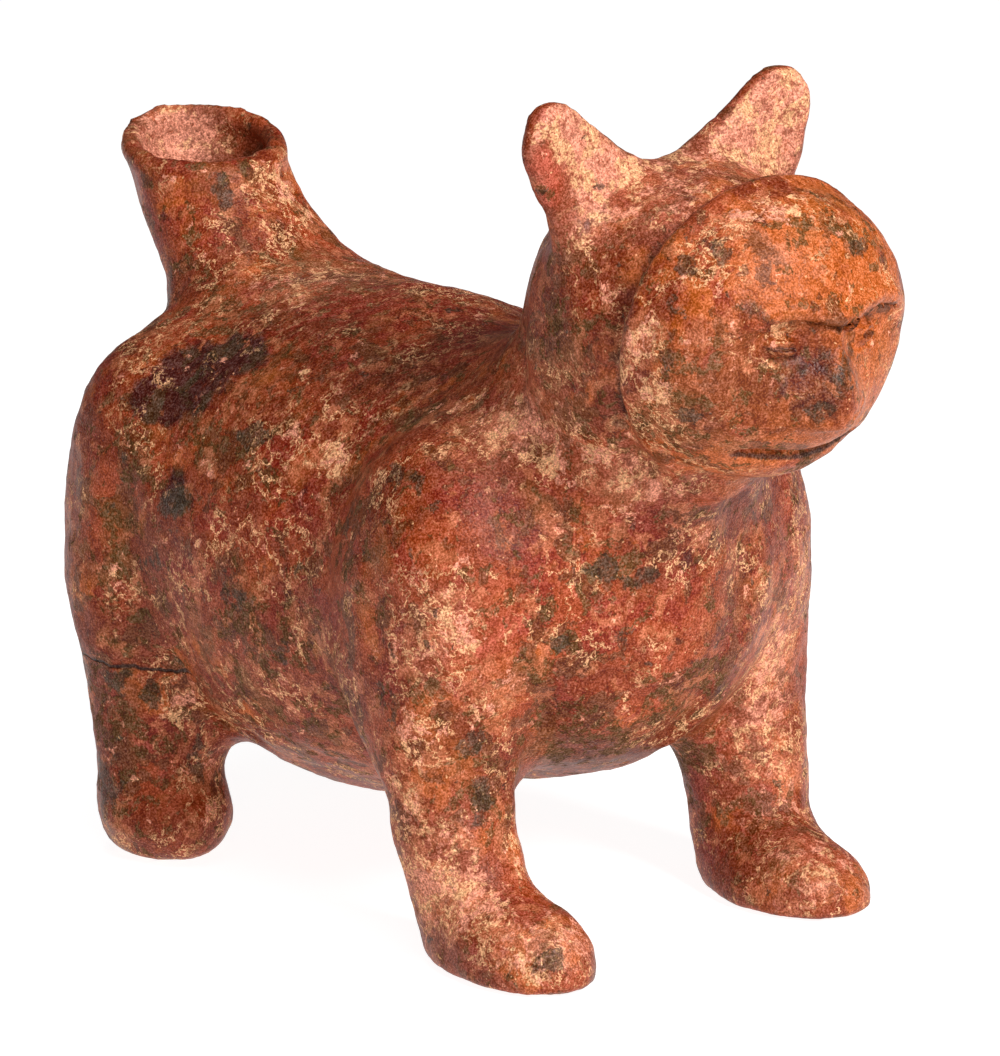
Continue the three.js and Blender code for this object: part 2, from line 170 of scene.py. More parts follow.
node = frame["nodes"]["dog_vessel"]
dog = bpy.data.objects.new("clay_dog", node.data.copy())
bpy.context.collection.objects.link(dog)
dog.data.materials.clear()
bpy.context.view_layer.objects.active = dog
dog.select_set(True)
bpy.ops.object.mode_set(mode="EDIT")
bpy.ops.mesh.select_all(action="SELECT")
bpy.ops.mesh.remove_doubles(threshold=SAME_POINT)
bpy.ops.object.mode_set(mode="OBJECT")
print("Merged points:", len(dog.data.vertices))

# %% [markdown]
# ## An even skin
# Each modifier is applied as soon as it is made, so that the next one works on real points. A short
# helper does both. Another reads the points in millimetres, which suit a dog of this size.


# %% Remesh
VOXEL = 0.0022  # metres, the side of the skin's squares


def shape(kind, **settings):
    """Adds a modifier to the piece and applies it."""
    modifier = dog.modifiers.new(kind.title(), kind)
    for name, value in settings.items():
        setattr(modifier, name, value)
    bpy.ops.object.modifier_apply(modifier=modifier.name)


def points():
    """The piece's points in millimetres."""
    flat = np.empty(3 * len(dog.data.vertices), np.float32)
    dog.data.vertices.foreach_get("co", flat)
    return flat.reshape(-1, 3).astype(float) * 1000


shape("REMESH", mode="VOXEL", voxel_size=VOXEL, use_smooth_shade=True)
print("Even skin:", len(dog.data.vertices), "points")

# %% [markdown]
# ## The wall inside
# The inner wall is hardly seen, so it needs far fewer faces than the skin. We hide the faces round the
# bore, pick one face of the inner wall, select all that is linked to it, and thin that out.


# %% Thin out the inner wall
BORE_FROM_Y = 70
BORE_FROM_Z = 192
THINNED_TO = 0.12
HOLLOW_FLOOR = (20, 40)  # half the width and half the length of a place on the hollow's floor
OVER_GROUND = 15  # the hollow lies higher than this


def face_centres():
    """The middles of the faces in millimetres."""
    flat = np.empty(3 * len(dog.data.polygons), np.float32)
    dog.data.polygons.foreach_get("center", flat)
    return flat.reshape(-1, 3).astype(float) * 1000


def select_faces(mask):
    """Selects faces in code and leaves the piece in edit mode."""
    bpy.ops.object.mode_set(mode="EDIT")
    bpy.ops.mesh.select_mode(type="FACE")
    bpy.ops.mesh.reveal(select=False)
    bpy.ops.mesh.select_all(action="DESELECT")
    bpy.ops.object.mode_set(mode="OBJECT")
    dog.data.polygons.foreach_set("select", np.asarray(mask, bool))
    bpy.ops.object.mode_set(mode="EDIT")


centres = face_centres()
normals = np.empty(3 * len(dog.data.polygons), np.float32)
dog.data.polygons.foreach_get("normal", normals)
looks_up = normals.reshape(-1, 3)[:, 2] > 0.9
over_floor = (abs(centres[:, :2]) < HOLLOW_FLOOR).all(axis=1) & (centres[:, 2] > OVER_GROUND) & looks_up
inner_seed = int(np.argmin(np.where(over_floor, centres[:, 2], 1e9)))

select_faces((centres[:, 1] > BORE_FROM_Y) & (centres[:, 2] > BORE_FROM_Z))
bpy.ops.mesh.hide()
bpy.ops.object.mode_set(mode="OBJECT")
seed_mask = np.zeros(len(centres), bool)
seed_mask[inner_seed] = True
dog.data.polygons.foreach_set("select", seed_mask)
bpy.ops.object.mode_set(mode="EDIT")
bpy.ops.mesh.select_linked()
print("Faces of the inner wall:", dog.data.total_face_sel)
bpy.ops.mesh.decimate(ratio=THINNED_TO)
bpy.ops.object.mode_set(mode="OBJECT")
chosen = np.zeros(len(dog.data.vertices), bool)
dog.data.vertices.foreach_get("select", chosen)
layer = dog.data.attributes.new("inside", "FLOAT", "POINT")
layer.data.foreach_set("value", chosen.astype(np.float32))
bpy.ops.object.mode_set(mode="EDIT")
bpy.ops.mesh.reveal(select=False)
bpy.ops.object.mode_set(mode="OBJECT")


def inside():
    """1 for each point of the inner wall, 0 for the skin."""
    values = np.zeros(len(dog.data.vertices), np.float32)
    dog.data.attributes["inside"].data.foreach_get("value", values)
    return values.astype(float)


print("Points of the inner wall:", int(inside().sum()), "faces in all:", len(dog.data.polygons))

# %% [markdown]
# ## Where things are
# To shape clay in one spot we need a number for each point of the skin: 1 in the spot, 0 far from it. A
# ball gives a round spot, a path gives a groove or a ridge, and the mask gets its own grid: u across it
# and w up it, each from -1 to 1, and how far a point stands in front of its widest line.

# %% Helpers that measure places, in millimetres
MASK_AT = np.array([-2.0, -136.1, 209.0])
MASK_SIZE = np.array([51.75, 38.6, 47.1])  # half width, depth, half height
MASK_TIP = math.radians(10)
# Each ear is a flat cone: the middles of its root and tip, and its half widths there.
EARS = [
    (np.array([-35.5, -92.1, 248.2]), np.array([-51.6, -90.4, 268.5]), 21.4, 13.5),
    (np.array([30.2, -94.1, 250.4]), np.array([42.6, -94.1, 271.6]), 22.6, 13.3),
]
EARS_FROM_Z = 244
EAR_HALF_DEPTH = 9
EAR_FADE = 5
SPOUT_FROM_Y = 84
SPOUT_FROM_Z = 192
RIM_MIDDLE = np.array([-0.5, 146.0])
RIM_Z = 233
RIM_SLOPES = (0.139, 0.158)  # its rise for each millimetre to the dog's left and to its back


def ramp(t):
    """0 up to 0, 1 from 1, and a soft step between."""
    t = np.clip(t, 0, 1)
    return t * t * (3 - 2 * t)


def ball(p, centre, radii):
    """1 in the middle of a soft ball, falling to 0 outside of it."""
    return np.exp(-(((p - centre) / radii) ** 2).sum(axis=1))


def path_distance(p, path):
    """How far each point is from a path of straight stretches."""
    nearest = np.full(len(p), 1e9)
    for a, b in zip(path[:-1], path[1:]):
        a, b = np.array(a, float), np.array(b, float)
        along = np.clip((p - a) @ (b - a) / ((b - a) @ (b - a)), 0, 1)
        nearest = np.minimum(nearest, np.linalg.norm(p - a - along[:, None] * (b - a), axis=1))
    return nearest


def mask_grid(p):
    """The mask's own grid: u across, how far in front, and w up."""
    d = p - MASK_AT
    across = d[:, 0]
    back = d[:, 1] * math.cos(MASK_TIP) + d[:, 2] * math.sin(MASK_TIP)
    up = d[:, 2] * math.cos(MASK_TIP) - d[:, 1] * math.sin(MASK_TIP)
    return across / MASK_SIZE[0], -back / MASK_SIZE[1], up / MASK_SIZE[2]


def ear_share(p):
    """1 on the ears."""
    share = np.zeros(len(p))
    for root, tip, root_radius, tip_radius in EARS:
        along = np.clip((p - root) @ (tip - root) / ((tip - root) @ (tip - root)), 0, 1)
        apart = np.linalg.norm(p - root - along[:, None] * (tip - root), axis=1)
        radius = root_radius + (tip_radius - root_radius) * along
        flat = ramp(1 - (abs(p[:, 1] - root[1]) - EAR_HALF_DEPTH) / 8)
        on_head = ramp((p[:, 2] - EARS_FROM_Z) / 10)
        share = np.maximum(share, ramp(1 - (apart - radius) / EAR_FADE) * flat * on_head)
    return share


def mask_share(p):
    """1 on the mask's front and edge."""
    u, front, w = mask_grid(p)
    within = ramp((1.16 - np.hypot(u, w)) / 0.1)
    return within * ramp((front + 0.55) / 0.14)


def spout_share(p):
    """1 on the spout."""
    return ramp((p[:, 1] - SPOUT_FROM_Y) / 14) * ramp((p[:, 2] - SPOUT_FROM_Z) / 14)


def rim_level(p):
    """The height of the rim's plane, which leans a little to the dog's right and front."""
    return RIM_Z + RIM_SLOPES[0] * p[:, 0] + RIM_SLOPES[1] * (p[:, 1] - RIM_MIDDLE[1])


def rim_share(p):
    """1 on the spout's rim."""
    return ramp((p[:, 1] - 100) / 10) * ramp((p[:, 2] - rim_level(p) + 7) / 5)


p = points()
shares = (ear_share, mask_share, spout_share)
print("Points on ears, mask and spout:", [int((share(p) > 0.5).sum()) for share in shares])

# %% [markdown]
# ## Smoothing
# A smooth modifier moves each point to the middle of its neighbours, again and again. The barrel of the
# body takes a lot of it. The ears, the mask's edge and the spout's rim would melt, so a vertex group
# holds it back there.


# %% Smooth the body
WEIGHT_STEPS = 250  # points of nearly the same weight join a group together, which is much faster
BODY_ROUNDS = 60
EAR_FLESH = 0.0008  # metres, put back on the ears, which smoothing thins


def weigh(name, weights):
    """Makes a vertex group from one number for each point."""
    old = dog.vertex_groups.get(name)
    if old:
        dog.vertex_groups.remove(old)
    group = dog.vertex_groups.new(name=name)
    steps = np.round(np.clip(weights, 0, 1) * WEIGHT_STEPS).astype(int)
    for step in np.unique(steps[steps > 0]):
        group.add(np.flatnonzero(steps == step).tolist(), step / WEIGHT_STEPS, "REPLACE")
    return name


u, front, w = mask_grid(p)
jaw = ramp((-0.25 - w) / 0.4) * ramp((0.2 - front) / 0.3)
keep = np.maximum.reduce([
    0.9 * ear_share(p),
    (0.97 - 0.4 * jaw) * mask_share(p),
    0.8 * spout_share(p),
    0.97 * rim_share(p),
])
legs = ramp((70 - p[:, 2]) / 30)
soft = weigh("soft", (1 - keep) * (1 - 0.35 * legs) * (1 - inside()))
shape("SMOOTH", factor=0.5, iterations=BODY_ROUNDS, vertex_group=soft)
shape("SMOOTH", factor=0.5, iterations=3)
shape("DISPLACE", strength=EAR_FLESH, mid_level=0, vertex_group=weigh("ears", ear_share(points())))
print("Smoothed, highest point now", round(float(points()[:, 2].max()), 1), "mm")

# %% [markdown]
# ## A rounder rim
# The rim came from flat facets, so it has corners. Its distance from the middle is measured all the way
# round, slow waves are fitted to it, and the points move by the difference. Its height is evened out in
# the same way.


# %% Round the rim
WAVES = 3
SECTORS = 36
RIM_RAISED_BY = 2.2
RIM_DEPTH = 4.5  # how far below its plane the rim's top still counts
CAP_DEPTH = 24  # how far below it the tube still moves a little


def shift(axis, amounts):
    """Moves the points along an axis, each by its own amount in millimetres."""
    for sign in (1, -1):
        reach = max(float((sign * amounts).max()), 0.01)
        shape("DISPLACE", direction=axis, strength=sign * reach / 1000, mid_level=0,
              vertex_group=weigh("shift", sign * amounts / reach))


def slow_waves(angles, values, at):
    """Fits a few waves to values around a circle and reads them at other angles."""
    def table(a):
        turns = [wave(k * a) for k in range(1, WAVES + 1) for wave in (np.cos, np.sin)]
        return np.column_stack([np.ones(len(a))] + turns)

    return table(at) @ np.linalg.lstsq(table(angles), values, rcond=None)[0]


p = points()
around = p[:, :2] - RIM_MIDDLE
angle = np.arctan2(around[:, 1], around[:, 0])
over_plane = p[:, 2] - rim_level(p)
on_rim = (over_plane > -RIM_DEPTH) & (p[:, 1] > 105)
sector = ((angle + math.pi) / math.tau * SECTORS).astype(int).clip(0, SECTORS - 1)
middles = (np.arange(SECTORS) + 0.5) * math.tau / SECTORS - math.pi
widest = np.array([np.hypot(*around[on_rim & (sector == i)].T).max() for i in range(SECTORS)])
tallest = np.array([over_plane[on_rim & (sector == i)].max() for i in range(SECTORS)])
outward = slow_waves(middles, widest, angle) - np.interp(angle, middles, widest, period=math.tau)
upward = slow_waves(middles, tallest, angle) - np.interp(angle, middles, tallest, period=math.tau)
falling = ramp((over_plane + CAP_DEPTH) / 16) * ramp((p[:, 1] - 100) / 10)
shift("X", outward * np.cos(angle) * falling)
shift("Y", outward * np.sin(angle) * falling)
shift("Z", (upward + RIM_RAISED_BY) * rim_share(p))
print("Rim moved by up to", round(float(abs(outward * falling).max()), 1), "mm")

# %% [markdown]
# ## Made by hand
# Hands leave a clay wall a little uneven: broad swellings where it was drawn up, smaller dents from
# fingers and a pebble's burnishing strokes. Displace modifiers with cloud textures of falling size do
# that. They are applied, so the unevenness is real geometry. At the end the rim is smoothed round and
# gets back what that took from its thickness.


# %% Uneven clay
def uneven(size, amount, group):
    """Clouds of a size push the skin in and out by up to half the amount, all in millimetres."""
    clouds = bpy.data.textures.new("clouds", "CLOUDS")
    clouds.noise_scale = size / 1000
    clouds.noise_depth = 2
    shape("DISPLACE", texture=clouds, texture_coords="LOCAL", strength=amount / 1000, mid_level=0.5,
          vertex_group=group)


SWELLINGS = [(46, 6.0), (17, 1.7)]  # the clouds' size and how far they reach, in millimetres
DENTS = [(7, 0.7), (3.2, 0.35)]
RIM_ROUNDS = 34
RIM_FLESH = 0.002  # metres

p = points()
above_soles = ramp((p[:, 2] - 4) / 10)
held = (1 - 0.75 * mask_share(p)) * (1 - 0.7 * ear_share(p)) * (1 - 0.6 * rim_share(p))
outside = weigh("loose", held * above_soles * (1 - inside()))
for size, amount in SWELLINGS:
    uneven(size, amount, outside)
fine_grained = weigh("fine_grained", 1 - 0.6 * rim_share(p))
for size, amount in DENTS:
    uneven(size, amount, fine_grained)
shape("SMOOTH", factor=0.5, iterations=RIM_ROUNDS, vertex_group=weigh("rim", rim_share(points())))
shape("DISPLACE", strength=RIM_FLESH, mid_level=0, vertex_group=weigh("rim", rim_share(points())))
print("Clay is uneven, box:", points().min(axis=0).round(1), points().max(axis=0).round(1))

# %% [markdown]
# ## A finer mesh on the mask
# The face's slits are finer than the skin's squares, so the squares on the mask's front are cut in four
# before the slits are pressed in, and those near eyes and mouth once more.


# %% Finer squares on the mask
FRONT_FROM = 0.1  # where the mask's front begins, as a share of its depth
FINER_FROM = 0.15
BROW_W = 0.28
MOUTH_W = -0.72
EYE_U, EYE_W = 0.36, 0.12


def brow_line(au):
    """The brow's height at a distance from the middle, which is the size of u."""
    return BROW_W + 0.08 * np.exp(-(((au - 0.35) / 0.25) ** 2)) - 0.12 * ramp((au - 0.5) / 0.4)


def mouth_line(au):
    """The mouth's height, which rises a little to its corners."""
    return MOUTH_W + 0.12 * au


def whole_front(u, front, w):
    """The faces on the mask's front."""
    return (front > FINER_FROM) & (np.hypot(u, w) < 1.02)


def near_slits(u, front, w):
    """The faces near the mouth, the brow and the eyes."""
    au = abs(u)
    mouth = (abs(w - mouth_line(au)) < 0.06) & (au < 0.62)
    brow = (abs(w - brow_line(au)) < 0.07) & (au < 0.75)
    eye = np.hypot((au - EYE_U) / 1.4, w - EYE_W) < 0.14
    return (front > FINER_FROM) & (mouth | brow | eye)


for choose in (whole_front, near_slits):
    select_faces(choose(*mask_grid(face_centres())))
    bpy.ops.mesh.subdivide(number_cuts=1, smoothness=0)
    bpy.ops.object.mode_set(mode="OBJECT")
p = points()
u, front, w = mask_grid(p)
fine = weigh("fine", ramp((front - FRONT_FROM) / 0.1) * ramp((1.05 - np.hypot(u, w)) / 0.1))
shape("SMOOTH", factor=0.5, iterations=4, vertex_group=fine)
dog.data.update()
print("Faces with the fine mask:", len(dog.data.polygons))

# %% [markdown]
# ## Pressed and raised details
# A potter presses slits with a stick and lays on small pellets. Here a weight says where, and a displace
# modifier without a texture moves the skin in or out by a depth there. The face is a plain one, at
# shares of the mask's height: a brow line, two small eyes, a broad nose and a straight mouth.


# %% The mask's features
def press(weights, depth):
    """Moves the skin in by a depth in millimetres where the weight is 1, or out if it is negative."""
    shape("DISPLACE", strength=-depth / 1000, mid_level=0, vertex_group=weigh("press", weights))


def groove(distance, width):
    """1 on a line, falling to 0 on both sides of it."""
    return np.exp(-((distance / width) ** 2))


def faces_out(front):
    """1 on the mask's front, 0 behind its edge."""
    return ramp((front - FRONT_FROM) / 0.15)


def on_mask(line):
    """A line's weights, only on the mask's front."""
    return line * faces_out(front)


p = points()
u, front, w = mask_grid(p)
au = abs(u)
brow = brow_line(au)
brow_end = ramp((0.78 - au) / 0.25)
eye = np.hypot((au - EYE_U) / 0.105, (w - EYE_W) / 0.062)
bridge_width = 0.1 + 0.12 * ramp((0.25 - w) / 0.6)
wing_at = 0.2 + 0.1 * ramp((w + 0.5) / 0.4)
# From the broad forms to the fine ones: the weights, and a depth in millimetres.
FEATURES = {
    "plateau": (np.exp(-(np.hypot(u / 0.8, (w + 0.05) / 0.85) ** 4)), 3.4),
    "socket": (groove(w - brow + 0.13, 0.13) * groove(au - 0.42, 0.3), 3.0),
    "under the brow": (groove(w - brow + 0.035, 0.035) * brow_end, 3.4),
    "brow": (groove(w - brow - 0.06, 0.07) * brow_end, -3.0),
    "bridge": (groove(u, bridge_width) * ramp((0.3 - w) / 0.35) * ramp((w + 0.52) / 0.12), -3.8),
    "eye": (ramp((1.15 - eye) / 0.5), -2.4),
    "round the eye": (groove(eye - 1.35, 0.25), 0.9),
    "eye slit": (groove(w - EYE_W, 0.014) * ramp((0.085 - abs(au - EYE_U)) / 0.03), 1.5),
    "mouth": (groove(w - mouth_line(au), 0.018) * ramp((0.54 - au) / 0.1), 2.4),
    "lower lip": (groove(w - mouth_line(au) + 0.07, 0.05) * ramp((0.5 - au) / 0.2), -0.8),
    "nostril": (groove(np.hypot((au - 0.1) / 0.035, (w + 0.34) / 0.03), 1), 1.2),
    "wing of the nose": (groove(au - wing_at, 0.03) * ramp(1 - abs(w + 0.36) / 0.16), 0.9),
}
for weights, depth in FEATURES.values():
    press(on_mask(weights), depth)
print("Pressed into the mask:", list(FEATURES))

# %% [markdown]
# ## The mask's edge, the ears, the rim and the old damage
# The mask is a slab luted on: its edge bulges, and a seam runs behind it. Folds run where the limbs and
# the neck meet the barrel. The ears are dished in front. One ear's tip and the mask's edge are chipped,
# and a crack runs round a hind leg.


# %% The mask's edge and the folds
BULGE_AT, SEAM_AT = -0.14, -0.38  # shares of the mask's depth, counted to the front
BULGE, SEAM_DEPTH = 1.9, 3.2


def on_edge(u, w):
    """1 round the mask's edge."""
    ring = np.hypot(u, w)
    return ramp((ring - 0.8) / 0.1) * ramp((1.3 - ring) / 0.1)


p = points()
u, front, w = mask_grid(p)
press(on_edge(u, w) * groove((front - BULGE_AT) * MASK_SIZE[1], 3.4), -BULGE)
press(on_edge(u, w) * groove((front - SEAM_AT) * MASK_SIZE[1], 3), SEAM_DEPTH)

# Each fold has a reach, a depth and a path. One on the middle line, or given on the left, isn't mirrored.
FOLDS = [
    (8, 2.6, [(-86, 86, 128), (-86, 81, 108), (-83, 78, 84), (-73, 71, 65), (-61, 69, 49)]),
    (9, 2.4, [(10, -114, 148), (22, -106, 125), (19, -106, 109), (9, -104, 90), (7, -91, 69)]),
    (5, 1.8, [(-48, -86, 87), (-45, -77, 68), (-45, -72, 56)]),
    (8, 1.8, [(-91, -41, 89), (-86, -43, 70), (-81, -44, 52)]),
    (7, 2.6, [
        (-44, -67, 199), (-47, -73, 183), (-48, -87, 172), (-41, -103, 169), (-31, -116, 165), (-17, -124, 160),
    ]),
]
for reach, depth, path in FOLDS:
    for side in (1, -1) if path[0][0] < 0 else (1,):
        distance = path_distance(p, [(side * x, y, z) for x, y, z in path])
        press(groove(distance, reach) * (1 - inside()), depth)
print("Folds between the limbs and the barrel:", len(FOLDS))

# %% The bore, the ears, the chips and the crack
BORE_RADIUS = 26
BORE_LEAN = 0.45  # how far the bore goes forward for each millimetre down
NARROW_Z = 214  # where the bore is narrowest
NARROWED_BY = 3.5
DISH_AT = 0.65  # a share of the way up the ear
DISH_RADII = (11, 7, 15)
DISH_DEPTH = 2.2
CRACK_DEPTH = 1.2

apart = np.hypot(p[:, 0] - RIM_MIDDLE[0], p[:, 1] - RIM_MIDDLE[1] + BORE_LEAN * (RIM_Z - p[:, 2]))
bore = ramp((BORE_RADIUS - apart) / 2) * groove(p[:, 2] - NARROW_Z, 9) * ramp((p[:, 1] - SPOUT_FROM_Y) / 10)
press(bore, -NARROWED_BY)

for root, tip, *_ in EARS:
    centre = root * (1 - DISH_AT) + tip * DISH_AT
    dish = ball(p, centre + (0, -4, -4), DISH_RADII)
    press(dish * ramp((centre[1] - p[:, 1]) / 2), DISH_DEPTH)
# Each chip has a middle, its radii and a depth: the left ear's tip and the mask's edge.
CHIPS = [((54, -96, 281), (4, 9, 4), 2.0), ((-47.5, -119, 223), (3.5, 6, 6), 2.6)]
for middle, radii, depth in CHIPS:
    press(ball(p, middle, radii), depth)
CRACK = [(-88, 112, 69), (-87, 105, 68), (-83, 90, 70), (-79, 77, 73), (-75, 70, 71), (-71, 65, 66)]
press(groove(path_distance(p, CRACK), 1.7), CRACK_DEPTH)
print("Worn places pressed in:", len(CHIPS), "chips and a crack")


def painted_slit_shade_share(p):
    """1 in the slits and the seam, where shade is painted."""
    u, front, w = mask_grid(p)
    au = abs(u)
    brow = groove(w - brow_line(au) + 0.04, 0.03) * ramp((0.75 - au) / 0.25)
    mouth = groove(w - mouth_line(au), 0.022) * ramp((0.56 - au) / 0.1)
    eye = groove(w - EYE_W, 0.02) * ramp((0.1 - abs(au - EYE_U)) / 0.03)
    seam = on_edge(u, w) * ramp((w + 0.8) / 0.3) * groove((front - SEAM_AT) * MASK_SIZE[1], 2.2)
    return np.maximum.reduce([faces_out(front) * (0.55 * brow + 0.9 * mouth + 0.7 * eye), 0.85 * seam])

# %% [markdown]
# ## Back into the CAD box
# The soles stay flat on the ground and the dog stays inside the CAD model's box, so points that moved
# past it are put back on its sides.

# %% Keep inside the CAD box
low, high = (np.array(corner) * 1000 for corner in cad_box)
p = points()
out = int(((p < low) | (p > high)).any(axis=1).sum())
p = np.clip(p, low, high)
dog.data.vertices.foreach_set("co", (p / 1000).astype(np.float32).ravel())
dog.data.update()
bpy.ops.object.shade_smooth()
print("Points put back:", out)
print("Triangles:", sum(len(f.vertices) - 2 for f in dog.data.polygons))
